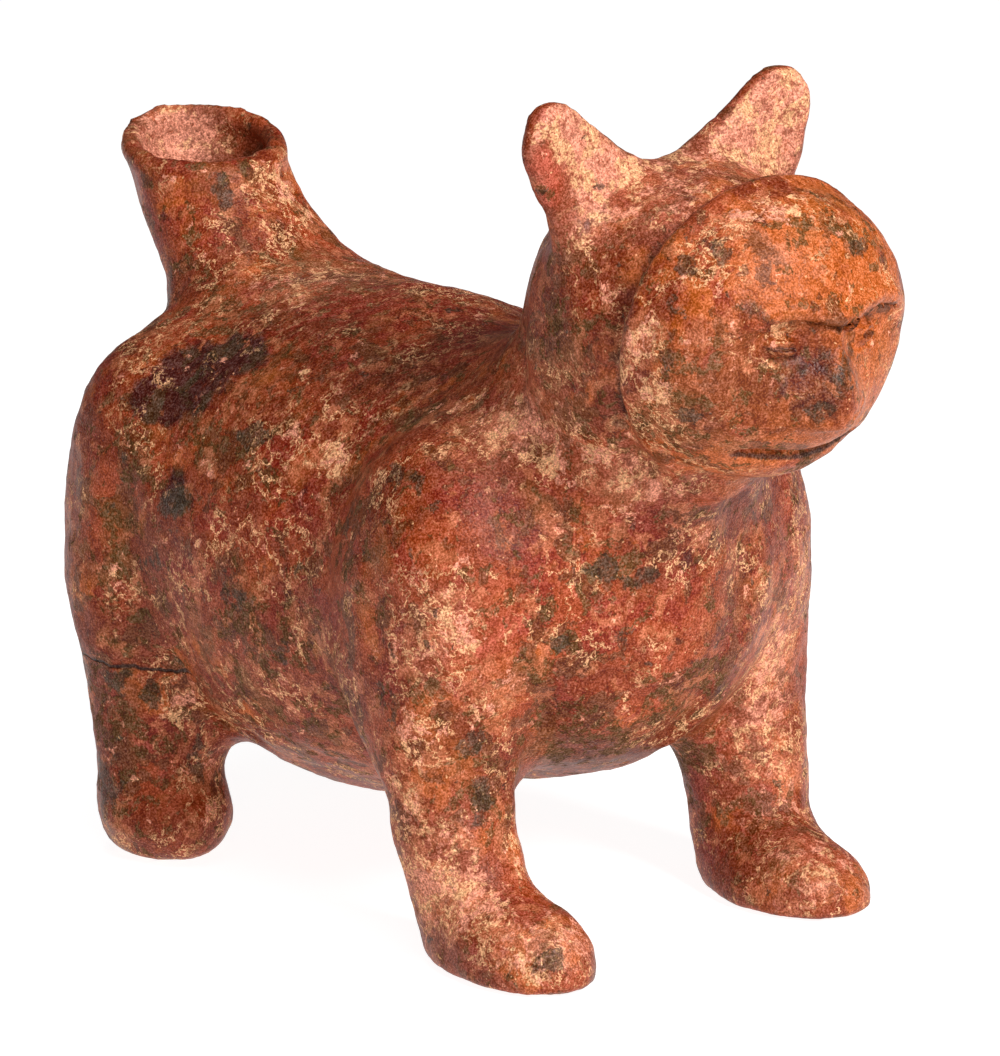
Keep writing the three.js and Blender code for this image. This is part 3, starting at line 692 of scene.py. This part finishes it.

# %% [markdown]
# ## Wear on the slip, and painted shade
# The clay's colours aren't even: roots, soil and firing left pale, dark, crimson and olive places. Each
# finish gets a number on every point of the skin, as on a painter's map, made of soft round spots. One map
# is painted shade instead, where shade falls beside the nose, under the brow and the belly and inside the
# spout. The material then breaks the spots' edges up, so no roundness is left.


# %% Maps of wear and painted shade on the skin
# Each spot is a centre, its radii and how strong it is.
SPOT_GROWTH = 1.25
MAPS = {
    "pale": [
        ((-54, -136, 208), (7, 9, 10), 1.0), ((-51, -136, 196), (7, 9, 11), 1.0),
        ((-48, -121, 222), (4, 6, 7), 1.0), ((-25, -149, 249), (9, 7, 4), 0.8),
        ((-11, -152, 252), (8, 7, 4), 0.9), ((-32, -148, 243), (7, 6, 4), 0.6),
        ((-47, -155, 216), (7, 6, 5), 0.5), ((-27, -166, 212), (11, 6, 5), 0.9),
        ((-37, -155, 183), (8, 7, 5), 0.5), ((-30, -162, 204), (9, 7, 4), 0.7),
        ((-34, -152, 232), (8, 6, 4), 0.7), ((-12, -160, 236), (7, 6, 3), 0.6),
        ((-50, -47, 176), (8, 10, 6), 0.7), ((-52, -69, 173), (9, 9, 6), 0.9),
        ((-46, -90, 163), (9, 9, 6), 0.8), ((-42, -101, 170), (9, 8, 7), 0.8),
        ((-30, -111, 161), (10, 8, 7), 0.9), ((-35, -102, 150), (8, 8, 5), 0.6),
        ((-4, -111, 137), (6, 7, 9), 0.6), ((20, -106, 126), (5, 6, 8), 0.4),
        ((31, -102, 110), (6, 6, 8), 0.7), ((-83, -76, 124), (8, 8, 9), 0.6),
        ((-81, -78, 111), (8, 8, 8), 0.7), ((-69, -83, 90), (9, 8, 9), 0.9), ((-83, -70, 77), (7, 8, 9), 0.9),
        ((-85, -63, 56), (7, 9, 9), 0.8), ((-80, -72, 44), (8, 9, 9), 0.9),
        ((-82, -70, 27), (9, 12, 12), 1.0), ((-77, -83, 26), (9, 12, 11), 1.0),
        ((-79, -109, 13), (9, 10, 6), 0.8), ((-54, -81, 34), (8, 9, 12), 0.6),
        ((-64, -113, 20), (10, 9, 6), 0.7), ((-90, -64, 104), (6, 8, 9), 0.6),
        ((54, -83, 82), (8, 8, 13), 1.0), ((64, -84, 39), (8, 9, 11), 0.8), ((61, -89, 116), (8, 8, 9), 0.6),
        ((16, -90, 69), (7, 9, 9), 0.6), ((49, -88, 95), (8, 8, 10), 0.7), ((48, -104, 26), (12, 8, 6), 0.4),
        ((-70, 72, 58), (6, 9, 10), 0.8), ((-63, 70, 26), (6, 8, 9), 0.8), ((-80, 45, 112), (5, 8, 7), 0.7),
        ((-79, 45, 144), (4, 6, 5), 0.7), ((-86, 88, 96), (5, 8, 9), 0.6), ((-73, 12, 71), (7, 10, 6), 0.7),
        ((-66, -2, 155), (5, 9, 7), 1.0), ((-62, 10, 164), (5, 8, 4), 0.6), ((-80, -6, 96), (6, 8, 8), 0.6),
        ((9, 110, 218), (10, 9, 12), 0.9), ((-1, 114, 225), (8, 6, 6), 0.7),
        ((-14, 69, 195), (14, 14, 6), 0.35), ((-86, -10, 88), (7, 12, 8), 0.4),
        ((-62, 57, 53), (7, 8, 8), 0.5), ((60, 60, 150), (14, 16, 12), 0.6),
        ((74, -30, 110), (12, 14, 14), 0.7), ((78, 70, 50), (10, 12, 14), 0.7),
        ((30, 10, 196), (16, 20, 8), 0.5),
    ],
    "bloom": [
        ((-40, -98, 246), (12, 10, 12), 0.6), ((30, -100, 250), (14, 12, 12), 0.8),
        ((-3, -92, 254), (26, 16, 10), 0.6), ((-20, -112, 250), (18, 14, 10), 0.5),
        # These two spots lie inside the spout, on the lit half of its far wall: there the bloom is also painted
        # light.
        ((3, 166, 228), (16, 10, 12), 1.0), ((-9, 163, 226), (12, 10, 10), 1.0),
        ((-50, -78, 176), (12, 16, 10), 0.6), ((-30, -114, 162), (18, 12, 8), 0.6),
        ((-80, -76, 30), (12, 18, 20), 0.5), ((-72, -108, 14), (16, 16, 9), 0.5),
        ((50, -108, 18), (18, 18, 10), 0.5), ((-46, -156, 206), (12, 10, 16), 0.15),
        ((-60, -116, 16), (14, 10, 8), 0.5), ((-14, 69, 195), (22, 18, 8), 0.4),
        ((54, -82, 66), (12, 14, 30), 0.6), ((-80, -76, 112), (10, 12, 16), 0.4),
    ],
    "stain": [
        ((-62, 72, 172), (10, 14, 7), 1.0), ((-75, 80, 161), (8, 11, 8), 1.0),
        ((-70, 72, 166), (9, 14, 7), 1.0), ((-52, 60, 178), (9, 10, 5), 0.8),
        # The spot beside the nose on the next line is partly a stain and partly painted shade on the nose's
        # shaded side.
        ((-83, 59, 133), (4, 6, 7), 1.0), ((-10, -172, 200), (12, 9, 12), 0.6),
        ((-26, -160, 221), (10, 5, 4), 0.6),
    ],
    "dark": [
        ((-79, -26, 142), (4, 5, 8), 1.0), ((-79, -49, 161), (4, 5, 6), 0.9),
        ((-36, -99, 132), (7, 5, 4), 1.0), ((-25, -104, 127), (7, 5, 4), 1.0),
        ((-44, -149, 189), (6, 5, 3), 1.0), ((-35, -152, 241), (4, 5, 5), 1.0),
        ((-42, -145, 238), (3, 4, 6), 1.0), ((-48, -146, 224), (4, 5, 5), 0.8),
        ((-71, -117, 13), (6, 6, 4), 1.0), ((-79, 79, 62), (5, 7, 7), 0.9), ((-85, 88, 65), (5, 7, 7), 0.8),
        ((-84, 95, 28), (6, 8, 9), 0.9), ((-63, 73, 36), (5, 6, 7), 0.8), ((-72, 30, 157), (5, 6, 5), 1.0),
        ((-72, -77, 75), (4, 5, 8), 0.8), ((-69, -79, 56), (5, 6, 9), 0.9), ((-78, -61, 159), (4, 5, 4), 0.8),
        ((-85, 27, 106), (4, 8, 6), 0.8), ((-79, -1, 120), (4, 4, 4), 0.8), ((-48, -93, 108), (5, 5, 5), 0.9),
        ((-30, -102, 107), (5, 5, 4), 0.8), ((-79, 9, 90), (4, 6, 6), 0.8), ((-91, -56, 89), (4, 5, 8), 0.8),
        ((-17, 114, 219), (4, 4, 5), 1.0), ((0, -173, 202), (7, 5, 9), 0.8),
        ((-12, -172, 190), (7, 5, 6), 0.7), ((11, -165, 240), (7, 5, 4), 0.9),
        ((-86, 70, 106), (4, 7, 7), 0.7), ((-86, 90, 128), (4, 7, 7), 0.7), ((-83, 59, 131), (4, 7, 8), 1.0),
        ((-82, -76, 34), (4, 5, 5), 0.7), ((-80, -85, 18), (4, 5, 4), 0.6), ((8, -108, 132), (4, 5, 8), 0.6),
        ((70, 20, 150), (10, 12, 10), 0.8), ((66, -70, 130), (8, 10, 9), 0.8),
        ((10, 152, 150), (10, 8, 10), 0.8),
    ],
    "crimson": [
        ((-69, -78, 153), (10, 10, 8), 1.0), ((-54, -88, 148), (12, 12, 10), 0.7),
        ((2, 22, 196), (50, 44, 14), 0.9), ((-28, -108, 150), (10, 8, 7), 0.8),
        ((-48, -93, 126), (14, 10, 12), 0.8), ((-65, -88, 117), (10, 8, 9), 0.5),
        ((-24, -105, 113), (20, 12, 12), 0.8), ((21, -104, 98), (10, 8, 14), 0.7),
        ((-75, 3, 141), (10, 22, 14), 0.6), ((-79, -17, 112), (10, 16, 14), 0.8),
        ((-89, -63, 137), (7, 9, 9), 0.6), ((-47, 63, 184), (14, 16, 8), 0.7),
        ((-32, 136, 216), (12, 14, 22), 0.8), ((44, -70, 43), (16, 16, 18), 0.9),
        ((51, -116, 14), (20, 16, 12), 0.4), ((-66, -99, 24), (12, 12, 8), 0.7),
        ((-75, 82, 161), (8, 12, 8), 0.7), ((-62, -112, 12), (10, 10, 8), 0.4),
        ((61, -89, 120), (10, 10, 14), 0.7), ((-38, -160, 226), (15, 10, 7), 1.0),
        ((0, 120, 160), (50, 30, 30), 0.6), ((-84, 40, 118), (8, 20, 16), 0.5),
    ],
    "coral": [
        ((-59, -96, 264), (4, 8, 6), 1.0), ((-55, -96, 256), (5, 8, 7), 1.0),
        ((-62, -95, 252), (3, 7, 5), 0.7), ((54, -102, 260), (5, 8, 6), 0.9),
        ((-65, -88, 114), (9, 8, 6), 0.8), ((-72, -82, 106), (6, 7, 5), 0.6),
        ((-22, -118, 166), (8, 6, 5), 0.6), ((56, -88, 108), (6, 7, 8), 0.6),
    ],
    "streaks": [
        ((-46, 26, 182), (42, 66, 24), 1.0), ((30, 20, 190), (50, 60, 20), 0.8),
        ((-48, -80, 172), (18, 26, 14), 0.8), ((-26, -108, 246), (26, 16, 14), 0.8),
        ((-40, -118, 170), (20, 12, 14), 0.9), ((12, -110, 130), (14, 10, 24), 0.8),
        ((-58, 50, 176), (20, 30, 12), 0.8),
    ],
    "olive": [
        ((-83, 83, 145), (7, 9, 8), 0.8), ((-76, 54, 150), (9, 12, 8), 0.9),
        ((-74, 38, 152), (8, 10, 8), 0.7), ((-36, -99, 130), (14, 8, 7), 0.9),
        ((-48, -93, 106), (9, 7, 8), 0.9), ((-30, -83, 72), (18, 14, 12), 1.0),
        ((-69, -79, 60), (9, 8, 12), 0.9), ((-54, -90, 100), (8, 7, 8), 0.8),
        ((-78, 0, 95), (9, 12, 10), 0.7), ((-82, 21, 92), (9, 12, 12), 0.8),
        ((-42, -142, 181), (9, 8, 6), 0.7), ((-46, -130, 186), (9, 8, 7), 0.6),
        ((-52, -97, 203), (12, 14, 16), 0.4), ((-52, -32, 170), (9, 12, 7), 0.8),
        ((-86, -35, 134), (7, 12, 10), 0.7), ((-86, 82, 106), (8, 10, 10), 0.9),
        ((-87, 89, 122), (8, 9, 9), 0.8), ((-84, 78, 86), (8, 10, 12), 0.9),
        ((-19, -153, 175), (12, 8, 6), 0.9), ((5, -153, 170), (10, 8, 6), 0.8),
        ((-45, -153, 200), (10, 8, 9), 0.6), ((11, -163, 240), (12, 7, 6), 0.9),
        ((-4, -158, 246), (12, 7, 5), 0.7), ((-31, -102, 133), (10, 8, 6), 0.8),
        ((42, -53, 46), (12, 14, 14), 1.0), ((0, -96, 84), (18, 14, 10), 0.9),
        ((-14, 69, 195), (22, 20, 8), 0.9), ((-44, -104, 180), (16, 12, 8), 0.8),
        ((-46, 20, 68), (26, 40, 14), 0.7), ((-46, 92, 190), (20, 18, 12), 0.6),
        ((-82, 86, 44), (9, 12, 22), 0.8), ((-62, -96, 172), (12, 12, 8), 0.5),
    ],
    # Painted shade: darker where shade falls, beside the nose, under the brow, the belly and a foreleg, and
    # inside the spout.
    "painted_shade": [
        ((-14, -172, 197), (12, 9, 20), 1.0), ((-32, -160, 200), (24, 12, 15), 0.9),
        ((-44, -150, 191), (12, 12, 14), 0.9), ((-22, -164, 186), (20, 12, 7), 0.5),
        ((-36, -162, 228), (12, 8, 8), 0.3), ((-78, -75, 78), (12, 14, 16), 0.6),
        ((17, -107, 112), (20, 12, 28), 0.5), ((0, -76, 62), (60, 40, 12), 0.7),
        ((-30, -102, 244), (26, 16, 12), 0.4), ((8, 158, 222), (14, 12, 16), 0.9),
        ((14, 140, 214), (10, 12, 14), 0.8), ((-62, -76, 150), (18, 16, 18), 0.45),
        ((50, -60, 60), (30, 30, 14), 0.5), ((-84, 84, 92), (10, 24, 34), 0.3),
    ],
    "orange": [
        ((-8, -160, 232), (50, 26, 26), 1.0), ((-26, -142, 170), (20, 14, 9), 1.0),
        ((-30, -150, 190), (34, 24, 22), 0.8), ((20, -160, 200), (40, 30, 40), 0.9),
        ((-78, -84, 60), (16, 20, 40), 0.5), ((54, -84, 76), (16, 20, 40), 0.5),
        ((-88, 96, 128), (10, 20, 26), 0.3), ((-80, 84, 66), (14, 22, 20), 0.2),
        ((-6, 130, 214), (26, 22, 18), 0.3), ((-72, -92, 96), (16, 12, 20), 0.4),
        ((-72, -110, 14), (18, 16, 14), 0.6), ((50, -110, 16), (20, 18, 14), 0.5),
    ],
}


def spots(p, marks):
    """The strongest of the spots at each point."""
    total = np.zeros(len(p))
    for centre, radii, strength in marks:
        total = np.maximum(total, strength * ball(p, centre, np.array(radii) * SPOT_GROWTH))
    return total


p = points()
normals = np.empty(3 * len(p), np.float32)
dog.data.vertices.foreach_get("normal", normals)
faces_front = ramp((-normals.reshape(-1, 3)[:, 1] - 0.25) / 0.5)
maps = {name: spots(p, marks) for name, marks in MAPS.items()}
maps["bloom"] = np.maximum(maps["bloom"], ear_share(p) * faces_front)
maps["painted_slit_shade"] = painted_slit_shade_share(p)
for name, values in maps.items():
    layer = dog.data.attributes.new(name, "FLOAT", "POINT")
    layer.data.foreach_set("value", np.clip(values, 0, 1).astype(np.float32))
dog.data.update()
print("Maps on the skin:", list(maps))

# %% [markdown]
# ## Shader maths in Python
# A material is a tree of nodes. Writing it as sums keeps it readable: a small class holds one socket, and
# a plus or a times on it adds the Math node. One method adds every other kind of node.


# %% A class for the material's values
class Flow:
    """A socket in the material's tree."""

    tree = None

    def __init__(self, socket):
        self.socket = socket

    @classmethod
    def node(cls, kind, settings, sockets, output=0):
        """Adds a node: its settings first, then a value or a link for each of its sockets."""
        made = cls.tree.nodes.new(kind)
        for name, value in settings.items():
            setattr(made, name, value)
        for key, value in sockets.items():
            if isinstance(value, cls):
                cls.tree.links.new(value.socket, made.inputs[key])
            else:
                made.inputs[key].default_value = value
        return cls(made.outputs[output])

    def maths(self, operation, first, second):
        return self.node("ShaderNodeMath", {"operation": operation}, {0: first, 1: second})

    def __add__(self, other):
        return self.maths("ADD", self, other)

    def __radd__(self, other):
        return self.maths("ADD", other, self)

    def __sub__(self, other):
        return self.maths("SUBTRACT", self, other)

    def __rsub__(self, other):
        return self.maths("SUBTRACT", other, self)

    def __mul__(self, other):
        return self.maths("MULTIPLY", self, other)

    def __rmul__(self, other):
        return self.maths("MULTIPLY", other, self)

    def __abs__(self):
        return self.maths("ABSOLUTE", self, 0.0)


slip = bpy.data.materials.new("burnished_slip")
slip.use_nodes = True
slip.node_tree.nodes.clear()
Flow.tree = slip.node_tree
print("An empty material:", slip.name)

# %% [markdown]
# ## Helpers for patterns
# A few short functions name the nodes that come up again and again: a step, a mix of colours, a map of
# wear, and noise in clouds of a size. All patterns use Object coordinates, so they stay on the clay.


# %% Helpers for patterns
def vector_maths(operation, first, second):
    """The Vector Math node, for places and for colours."""
    return Flow.node("ShaderNodeVectorMath", {"operation": operation}, {0: first, 1: second})


def rise(value, low, high):
    """0 below low, 1 above high, and a soft step between."""
    return Flow.node("ShaderNodeMapRange", {"interpolation_type": "SMOOTHSTEP"},
                     {"Value": value, "From Min": low, "From Max": high})


def mixed(share, below, above):
    """A colour laid over another by a share from 0 to 1."""
    return Flow.node("ShaderNodeMix", {"data_type": "RGBA"}, {0: share, 6: below, 7: above}, 2)


def tint(red, green, blue):
    """A colour as seen on a screen, 0 to 255, as the light that the shader needs."""
    light = [((c / 255 + 0.055) / 1.055) ** 2.4 if c > 10 else c / 255 / 12.92 for c in (red, green, blue)]
    return (*light, 1.0)


def wear_and_shade_map(name):
    """One of the maps of wear and painted shade on the skin."""
    return Flow.node("ShaderNodeAttribute", {"attribute_name": name}, {}, "Fac")


place = Flow.node("ShaderNodeTexCoord", {}, {}, "Object")


def moved(at, shift):
    """The same place, shifted by a number, so that two patterns don't fall together."""
    return Flow.node("ShaderNodeMapping", {}, {"Vector": at, "Location": (shift, shift * 0.7, -shift)})


def clouds(at, size, detail, roughness=0.55, output="Fac"):
    """Noise with clouds of about a size in millimetres."""
    return Flow.node("ShaderNodeTexNoise", {}, {
        "Vector": at, "Scale": 1000 / size, "Detail": detail, "Roughness": roughness}, output)


def ragged(at, size, reach):
    """Moves the place about by up to half a reach in millimetres, which frays a pattern's edges."""
    stir = clouds(at, size, 3.0, 0.65, "Color")
    centred = vector_maths("SUBTRACT", stir, (0.5, 0.5, 0.5))
    return vector_maths("ADD", at, vector_maths("MULTIPLY", centred, (reach / 1000,) * 3))


frayed = ragged(place, 9, 9)
print("Pattern helpers ready")

# %% [markdown]
# ## The slip's colours
# From below: brick-red slip, orange on the mask and the legs, with crimson clouds, brown mottling and olive
# speckle where the burnish has gone, painted shade in umber beside the nose, under the brow and the belly
# and inside the spout, small slate-grey spots of manganese, a large plum stain, a pale lace where lime has
# crept in, a pink-white bloom, and painted shade in the slits and the seam.

# %% Colours
BRICK = tint(144, 59, 23)
RUST = tint(118, 45, 14)
ORANGE = tint(168, 82, 32)
CRIMSON = tint(126, 38, 16)
CORAL = tint(168, 74, 52)
BROWN = tint(88, 46, 11)
# A dark brown for painted shade.
PAINTED_SHADE_UMBER = tint(100, 43, 7)
BLUSH = tint(190, 116, 92)
OLIVE = tint(80, 56, 20)
SLATE = tint(58, 44, 28)
# A near-black for painted shade in the slits and the seam, and for the crack.
SLIT_SHADE_AND_CRACK = tint(40, 20, 8)
PLUM = tint(56, 20, 18)
CHALK = tint(176, 99, 64)
CREAM = tint(218, 162, 116)
PINK = tint(210, 136, 110)
BUFF = tint(146, 84, 40)

pale, bloom, stain, dark = (wear_and_shade_map(name) for name in ("pale", "bloom", "stain", "dark"))
crimson, coral, orange, olive = (wear_and_shade_map(name) for name in ("crimson", "coral", "orange", "olive"))
streaks, painted_shade, painted_slit_shade, within = (wear_and_shade_map(name) for name in ("streaks", "painted_shade", "painted_slit_shade", "inside"))
print("Colours and maps ready")

# %% [markdown]
# ## The slip's patterns
# Each pattern is a noise whose place is frayed by another noise, cut at a level that a map of wear raises
# or lowers. A soft step makes a cloud and a hard one makes a patch. Each layer is mixed over those before
# it, and a factor on its pattern keeps some of the colour below in sight.


# %% Patterns
def patches(size, at, level, step, wear=0.0, roughness=0.58):
    """Patches of about a size: noise and wear above a level, over a step from 0 to 1."""
    return rise(clouds(moved(frayed, at), size, 4.5, roughness) + wear, level, level + step)


cloud_mid = clouds(moved(frayed, 0.3), 16, 4.5, 0.6)
cloud_small = clouds(moved(frayed, 0.7), 7, 4.0, 0.62)
grit = clouds(moved(place, 0.2), 1.6, 2.0, 0.7)

colour = mixed(patches(34, 0.1, 0.44, 0.14), RUST, BRICK)
colour = mixed(patches(18, 0.5, 0.56, 0.16, 0.3 * orange), colour, ORANGE)
colour = mixed(patches(16, 2.9, 0.57, 0.06, 0.18 * crimson - 0.08 * orange) * 0.75, colour, CRIMSON)
colour = mixed(rise(coral + 1.6 * (cloud_small - 0.5), 0.4, 0.76) * 0.75, colour, CORAL)
colour = mixed(patches(11, 1.1, 0.56, 0.035, 0.12 * olive) * 0.7, colour, BROWN)
# Painted shade: an umber darkening where shade falls, beside the nose, under the brow and the belly, inside the
# spout.
colour = mixed(rise(painted_shade + 0.9 * (cloud_mid - 0.5), 0.05, 0.95) * 0.85, colour, PAINTED_SHADE_UMBER)
colour = mixed(patches(24, 1.7, 0.56, 0.12, 0.1 * olive) * 0.4, colour, BUFF)
speckle = patches(7, 2.3, 0.595, 0.03, 0.15 * olive) * rise(grit, 0.34, 0.5)
colour = mixed(speckle * 0.75, colour, OLIVE)
# Strokes of the burnishing pebble run along the back: a noise stretched that way.
along_back = Flow.node("ShaderNodeMapping", {"vector_type": "TEXTURE"}, {
    "Vector": frayed, "Rotation": (0, -0.41, -0.51), "Scale": (7, 1, 1)})
drawn = clouds(along_back, 4.5, 4.0, 0.6)
colour = mixed(rise(drawn, 0.54, 0.66) * streaks * 0.5, colour, mixed(rise(grit, 0.4, 0.6), BROWN, CREAM))
colour = mixed(rise(drawn, 0.47, 0.36) * streaks * 0.6, colour, BROWN)
stained = rise(stain + 2.0 * (cloud_mid - 0.5) + 0.9 * (cloud_small - 0.5), 0.2, 0.62)
colour = mixed(stained * 0.88, colour, mixed(patches(9, 6.9, 0.5, 0.08), PLUM, SLATE))
print("Colour layers below the wear:", len(Flow.tree.nodes), "nodes")

# %% [markdown]
# ## Wear and painted shade over the slip
# Lime and age lie on top: chalky places, a pink-white bloom, bare patches, and a lace of thin pale veins
# where a noise crosses its middle value. Over them come grey spots, pale specks, painted shade in the
# slits and the seam behind the mask, and the crack, which is too thin for the mesh and is drawn here as a
# line round the leg.

# %% Wear and painted shade over the slip
CRACK_Z = 69.5
CRACK_WAVE = 9.0
CRACK_FROM_Y, CRACK_TO_Y, CRACK_TO_X = 62, 116, -60

colour = mixed(within * 0.75, colour, BUFF)
chalky = patches(9, 4.7, 0.56, 0.06, 0.15 * pale - 0.06 * painted_shade, 0.64)
colour = mixed(chalky * 0.6, colour, CHALK)
colour = mixed(bloom * (1 - coral) * 0.45, colour, BLUSH)
bloomed = patches(5, 9.4, 0.62, 0.12, 0.34 * bloom - 0.5 * coral, 0.7) * rise(grit, 0.34, 0.56)
colour = mixed(bloomed * 0.85, colour, mixed(patches(10, 1.3, 0.46, 0.1), PINK, CREAM))
bare = patches(8, 5.3, 0.64, 0.03, 0.18 * pale - 0.06 * painted_shade, 0.66)
bare_tone = mixed(patches(12, 6.1, 0.5, 0.08), PINK, CREAM)
colour = mixed(bare * rise(grit, 0.34, 0.54) * 0.85, colour, bare_tone)
lace_line = abs(clouds(moved(frayed, 3.1), 10, 5.0, 0.64) - 0.5)
lace_zone = patches(26, 4.3, 0.48, 0.12, 0.26 * pale - 0.1 * painted_shade)
lace = (1 - rise(lace_line, 0.006, 0.02)) * lace_zone * rise(grit, 0.3, 0.48)
colour = mixed(lace * 0.85, colour, CREAM)
spotted = rise(dark + 2.4 * (cloud_small - 0.5), 0.46, 0.76)
scattered = patches(8, 7.2, 0.66, 0.05)
sooty = rise(spotted + scattered, 0.1, 0.9) * (1 - 0.5 * rise(grit, 0.5, 0.64))
colour = mixed(sooty * 0.72, colour, SLATE)
specks = rise(clouds(moved(place, 7.7), 1.7, 1.0), 0.73, 0.79)
colour = mixed(specks * 0.7, colour, CREAM)
# Painted shade darkens the slits and the seam behind the mask.
colour = mixed(rise(painted_slit_shade + 0.8 * (grit - 0.5), 0.2, 0.8) * 0.8, colour, SLIT_SHADE_AND_CRACK)
x, y, z = (Flow.node("ShaderNodeSeparateXYZ", {}, {0: place}, axis) * 1000 for axis in "XYZ")
crack_line = abs(z - CRACK_Z - CRACK_WAVE * (clouds(moved(place, 6.6), 16, 3.0) - 0.5))
crack_ends = rise(y, CRACK_FROM_Y, CRACK_FROM_Y + 8) * (1 - rise(y, CRACK_TO_Y - 10, CRACK_TO_Y))
crack_span = crack_ends * (1 - rise(x, CRACK_TO_X - 8, CRACK_TO_X))
cracked = (1 - rise(crack_line, 0.25, 0.9)) * crack_span
colour = mixed(cracked * 0.9, colour, SLIT_SHADE_AND_CRACK)
print("Colour layers:", len(Flow.tree.nodes), "nodes")

# %% [markdown]
# ## A fine grain and painted glints
# Up close, the burnish is a net of tiny pits and glints. They mostly change how light the slip is, so
# the colour is multiplied by a fine noise, which is partly the slip's grain and partly painted shade in
# the pits and painted glints, and a little grey is added as painted highlight or taken away as painted
# shade. No colour may end below black, so the last step keeps a little brown in it.

# %% Grain and painted glints
GRAIN_SIZE, COARSE_SIZE = 0.65, 3.2
DARKEST = (0.004, 0.002, 0.001)


def held_between(value, low, high):
    """The Clamp node."""
    return Flow.node("ShaderNodeClamp", {}, {"Value": value, "Min": low, "Max": high})


grain = clouds(moved(place, 8.8), GRAIN_SIZE, 1.0, 0.6) - 0.5
coarse = clouds(moved(place, 9.9), COARSE_SIZE, 3.0, 0.65) - 0.5
stir = held_between(2.4 * grain + 1.5 * coarse + 0.03, -0.36, 0.9)
# Painted highlight: grey is added where the grain is high, as glints on the burnish.
painted_glint = held_between(stir, 0.0, 0.8)
colour = vector_maths("MULTIPLY", colour, stir + 1.0)
colour = vector_maths("ADD", colour, 0.03 * stir + 0.04 * painted_glint)
colour = vector_maths("MAXIMUM", colour, DARKEST)
print("Grain added:", len(Flow.tree.nodes), "nodes")

# %% [markdown]
# ## Gloss and bump
# Burnished slip shines softly. Where it is bare, limy or speckled, it is dull. The grain is also a bump,
# because it is finer than any mesh, and the crack is cut deeper with it.

# %% Gloss, bump and the shader
BUMP_DEPTH = 0.0006  # metres
BUMP_STRENGTH = 0.7
CLAY_IOR = 1.45
CLAY_SHINE = 0.2

dull = bare + lace + speckle + bloomed
rough = 0.42 + 0.3 * dull - 0.12 * stained + 0.25 * (grit - 0.5) + 0.2 * (cloud_mid - 0.5)
rough = held_between(rough, 0.28, 0.9)
height = 0.5 * grit + 0.5 * grain + 0.5 * clouds(moved(place, 8.3), 3.5, 2.0) - 1.5 * cracked
bump = Flow.node("ShaderNodeBump", {}, {
    "Strength": BUMP_STRENGTH, "Distance": BUMP_DEPTH, "Height": height}, "Normal")
shader = Flow.node("ShaderNodeBsdfPrincipled", {}, {
    "Base Color": colour, "Roughness": rough, "Normal": bump,
    "IOR": CLAY_IOR, "Specular IOR Level": CLAY_SHINE}, "BSDF")
out = Flow.tree.nodes.new("ShaderNodeOutputMaterial")
Flow.tree.links.new(shader.socket, out.inputs["Surface"])
dog.data.materials.append(slip)
print("Material nodes:", len(Flow.tree.nodes))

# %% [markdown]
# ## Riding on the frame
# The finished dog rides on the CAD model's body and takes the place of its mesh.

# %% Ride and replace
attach(dog, "root")
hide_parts("dog_vessel")
